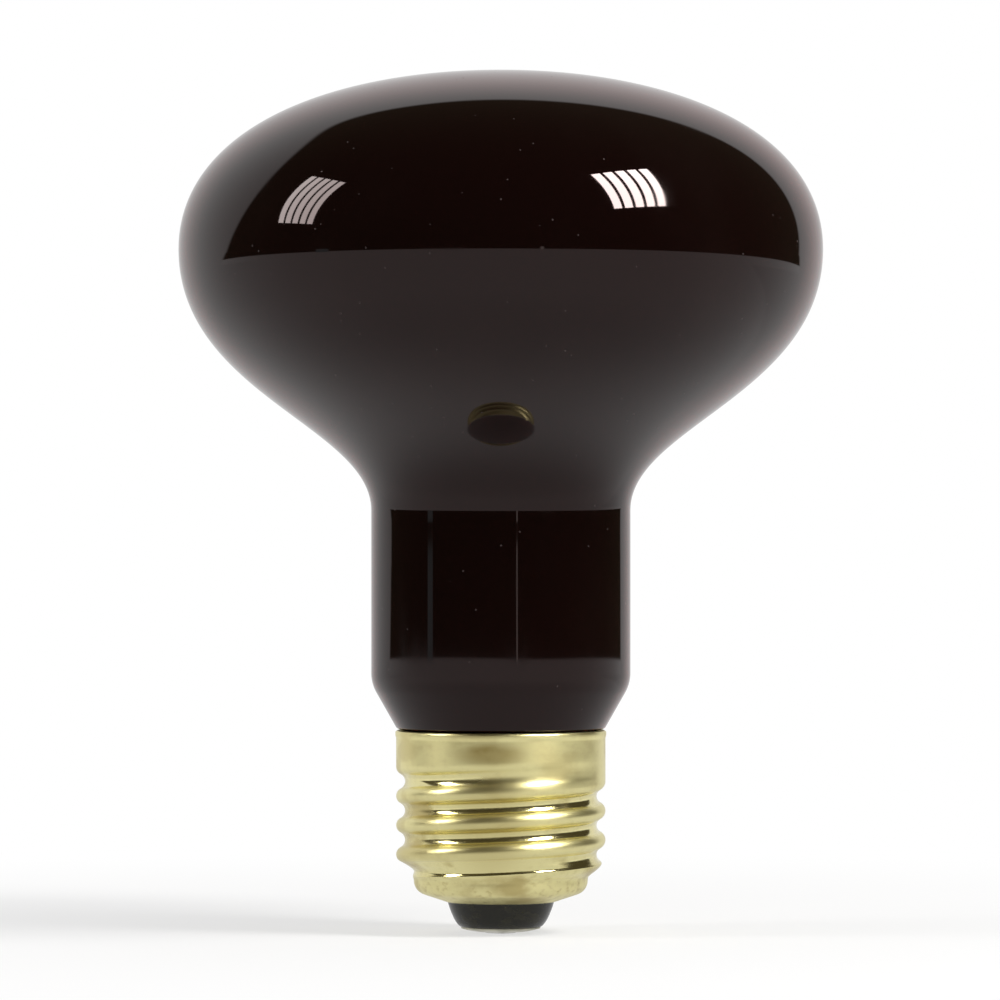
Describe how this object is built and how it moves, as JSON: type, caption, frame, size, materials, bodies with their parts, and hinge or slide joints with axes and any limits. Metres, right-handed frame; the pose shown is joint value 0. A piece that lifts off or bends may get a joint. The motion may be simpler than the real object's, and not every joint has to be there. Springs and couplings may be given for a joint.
{
  "type": "incandescent spot bulb",
  "caption": "Reflector spot bulb: a wide domed opaque glass envelope on a straight neck, with a brass Edison screw cap, a black glass insulator and a soldered centre contact.",
  "frame": {"origin": "lowest point of the centre contact's solder, on the bulb's axis", "axes": "+Z along the axis from the screw cap to the top of the dome, -Y the pictured front, +X to the right"},
  "size_m": [0.08, 0.08, 0.1071],
  "materials": {
    "dark_glass": "near-black glossy blown glass, opaque, with a faint brown tint",
    "brass_sheet": "rolled pale brass sheet, satin to bright, slightly mottled",
    "insulator_glass": "black olive moulded glass, semi-gloss",
    "contact_sheet": "tinned sheet, satin grey",
    "solder": "tin solder, dull with bright spots",
    "cement": "matt brown basing cement",
    "lead_wire": "drawn nickel-plated copper wire"
  },
  "bodies": {
    "root": {"glass_envelope": "dark_glass", "screw_shell": "brass_sheet", "base_insulator": "insulator_glass", "centre_contact": "contact_sheet", "centre_solder": "solder", "side_solder": "solder", "base_cement": "cement", "centre_lead_wire": "lead_wire", "side_lead_wire": "lead_wire"}
  },
  "joints": []
}
